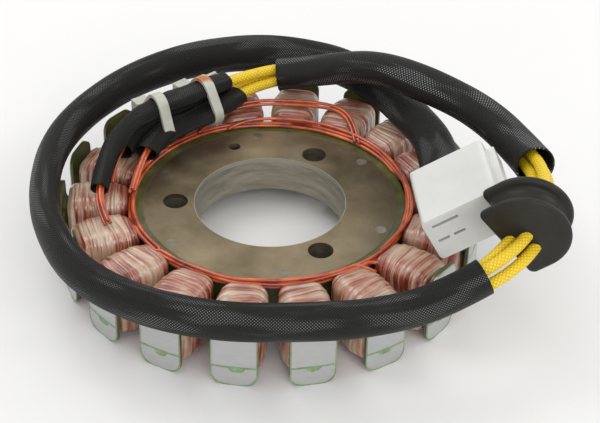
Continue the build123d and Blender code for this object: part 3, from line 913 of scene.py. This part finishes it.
def ring_wire(radius, height, start, sweep, wobble, dip):
    """A wire laid round the hub's rim, uneven in radius and height, its ends turning down between two coils."""
    count = max(8, int(abs(sweep) / 2))
    angles = np.radians(np.linspace(start, start + sweep, count))
    wave = smooth_noise(count, 7, wobble)
    lift = smooth_noise(count, 9, wobble * 0.7)
    ends = np.minimum(np.arange(count), np.arange(count)[::-1]) / 3
    down = np.clip(1 - ends, 0, 1) ** 1.5
    size = radius + wave + 0.0035 * down
    z = height + lift - dip * down
    return np.column_stack([size * np.cos(angles), size * np.sin(angles), z])


def on_pole(pole, across, height, proud):
    """A point on a pole's ground face: this far across it, at this height, standing this proud."""
    angle = 2 * math.pi * pole / POLES
    radial = Vector((math.cos(angle), math.sin(angle), 0))
    along = Vector((-radial.y, radial.x, 0))
    return radial * (math.sqrt(OUTER_R ** 2 - across ** 2) + proud) + along * across + Vector((0, 0, height))


def seam_piece(material):
    """Green epoxy on the pole faces: it fills the joints between core and tabs, and edges each face."""
    verts, faces = [], []

    def strip(pole, lower, upper, closed=False):
        start = len(verts)
        for (x1, z1), (x2, z2) in zip(lower, upper):
            verts.append(on_pole(pole, x1, z1, 0.00005))
            verts.append(on_pole(pole, x2, z2, 0.00005))
        count = len(lower)
        for j in range(count if closed else count - 1):
            k = (j + 1) % count
            faces.append([start + 2 * j, start + 2 * k, start + 2 * k + 1, start + 2 * j + 1])

    half = SHOE_W / 2
    for pole in range(POLES):
        for height, way in ((STACK_TOP, 1), (STACK_BOTTOM, -1)):
            xs = np.linspace(-half, half, 25)
            edge = height - way * (0.28 * MM + smooth_noise(25, 4, 0.10 * MM))
            middle = noise_rng.uniform(-0.9, 0.9) * MM
            width, depth = noise_rng.uniform(1.7, 2.3) * MM, noise_rng.uniform(0.9, 1.3) * MM
            bulge = np.clip(1 - ((xs - middle) / width) ** 4, 0, 1) ** 0.5
            far = height + way * (0.12 * MM + depth * bulge + np.abs(smooth_noise(25, 3, 0.10 * MM)))
            strip(pole, list(zip(xs, edge)), list(zip(xs, far)))
        outline = []
        top, corner = TOTAL_H - 3.2 * MM, 3.2 * MM
        for turn in np.linspace(0, math.pi / 2, 8):
            outline.append((half - corner * (1 - math.cos(turn)), top + corner * math.sin(turn)))
        ring = outline + [(-x, z) for x, z in reversed(outline)]
        ring += [(x, TOTAL_H - z) for x, z in reversed(ring)]
        inner = []
        for x, z in ring:
            width = 0.30 * MM + noise_rng.uniform(-0.06, 0.10) * MM
            inner.append((x * (1 - width / half), TOTAL_H / 2 + (z - TOTAL_H / 2) * (1 - width / (TOTAL_H / 2))))
        rim = [(x * 0.998, TOTAL_H / 2 + (z - TOTAL_H / 2) * 0.999) for x, z in ring]
        strip(pole, rim, inner, closed=True)
    return new_piece("pole_seams", verts, faces, material, smooth=False)


# --- Building -----------------------------------------------------------------------------------------------

make_camera()
looks = {
    "plate": plate_material(),
    "core": core_material(),
    "rivet": rivet_material(),
    "seam": seam_material(),
    "winding": winding_material(),
    "enamel": enamel_material(),
    "sleeve": sleeve_material("black_sleeve", 40, 1.30, 0.65),
    # the short sleeve's braid, with stronger painted glints along its top
    "wear_and_glint": sleeve_material("strong_glint_sleeve", 28, 1.20, 1.0),
    "braid": sleeve_material("splice_braid", 30, 1.5, 0.25),
    "lead": lead_material(),
    "rubber": rubber_material(),
    "nylon": nylon_material(),
    "tie": tie_material(),
    "brass": brass_material(),
}

grommet = make_grommet(looks["rubber"])
housing = bevelled_copy("connector_shell", "connector_housing", looks["nylon"], 0.35 * MM)
make_sleeve("sleeve_short", *SHORT_SLEEVE, 2.6 * MM, 0.0, 5.2 * MM, 4.1 * MM, SHORT_ROLL, looks["wear_and_glint"],
            0.094, 0.0104)
make_sleeve("sleeve_long", *LONG_SLEEVE, 0.0, 6.0 * MM, 5.3 * MM, 3.9 * MM, LONG_ROLL, looks["sleeve"],
            0.328, 0.0106)
for lead_index, lead_length in enumerate(LEAD_LENGTHS):
    make_lead(lead_index, looks["lead"])

for number, points in enumerate(SPLICES, start=1):
    corner = side_step(ROUTE, *LEAD_PLACES[number - 1])[0]
    run_end = Vector(corner) + (Vector(points[-1]) - Vector(corner)).normalized() * SPLICE_REACHES[number - 1]
    line, at = even(spline_points([*points, run_end], f"splice_line_{number}"), 0.6 * MM)
    crease = np.array([smooth_noise(len(line), 9, 0.13) for _ in range(28)]).T
    crease = (crease + np.roll(crease, 1, 1) + np.roll(crease, 2, 1)) / 3
    swell = np.interp(at / at[-1], (0, 0.35, 0.75, 1), SPLICE_SWELLS[number - 1])
    wide = 2.75 * MM * swell * (1 + smooth_noise(len(line), 10, 0.05))
    high = 2.40 * MM * (1 + smooth_noise(len(line), 10, 0.05))
    tube_piece(f"splice_braid_{number}", line, at, wide, high, np.zeros(len(line)), 28, looks["braid"],
               0.35 * MM, crease, replaced=(f"splice_sleeve_{number}",))
    strands = []
    for side, lift in STRAND_PLACES:
        path = [Vector(p) + Vector((side * MM, 0, lift * MM)) for p in (*TAIL_ROOTS[number - 1], *points[:2])]
        strands.append(spline_points(path, f"tail_line_{number}"))
    wire_piece(f"tail_wires_{number}", strands, WIRE_D, looks["enamel"], (f"tail_pair_{number}",))

for number in range(1, POLES + 1):
    make_coil(number, looks["winding"])

rim_lines = [[ring_wire(*wire) for wire in phase] for phase in RIM_WIRES]
for number, lines in enumerate(rim_lines, start=1):
    wire_piece(f"crossover_wires_{number}", lines, CROSSOVER_D, looks["enamel"],
               (f"crossover_phase_{number}",))
back_lines = [spline_points(path, "back_wire") for path in BACK_WIRES]
wire_piece("back_wires", back_lines, WIRE_D, looks["enamel"])

seam_piece(looks["seam"])
for name in ("end_plate_upper", "end_plate_lower"):
    dress(name, looks["plate"])
dress("core_stack", looks["core"])
for number in range(1, 7):
    dress(f"core_rivet_{number}", looks["rivet"])
for number in (1, 2, 3):
    for name in (f"terminal_{number}", f"splice_joint_{number}"):
        dress(name, looks["brass"])
for number in (1, 2):
    bevelled_copy(f"tie_strap_{number}", f"cable_tie_{number}", looks["tie"], 0.18 * MM)

floor_mesh = bpy.data.meshes.new("floor")
floor_corners = [(x * FLOOR_HALF, y * FLOOR_HALF, 0) for x, y in ((-1, -1), (1, -1), (1, 1), (-1, 1))]
floor_mesh.from_pydata(floor_corners, [], [(0, 1, 2, 3)])
floor_mesh.materials.append(floor_material())
floor = bpy.data.objects.new("floor", floor_mesh)
bpy.context.scene.collection.objects.link(floor)

world = bpy.data.worlds.new("studio")
world.use_nodes = True
world.node_tree.nodes["Background"].inputs[0].default_value = (1.0, 1.0, 1.0, 1)
world.node_tree.nodes["Background"].inputs[1].default_value = SKY_STRENGTH
bpy.context.scene.world = world
bpy.context.scene.view_settings.view_transform = "Standard"
for light in LIGHTS:
    area_light(*light)
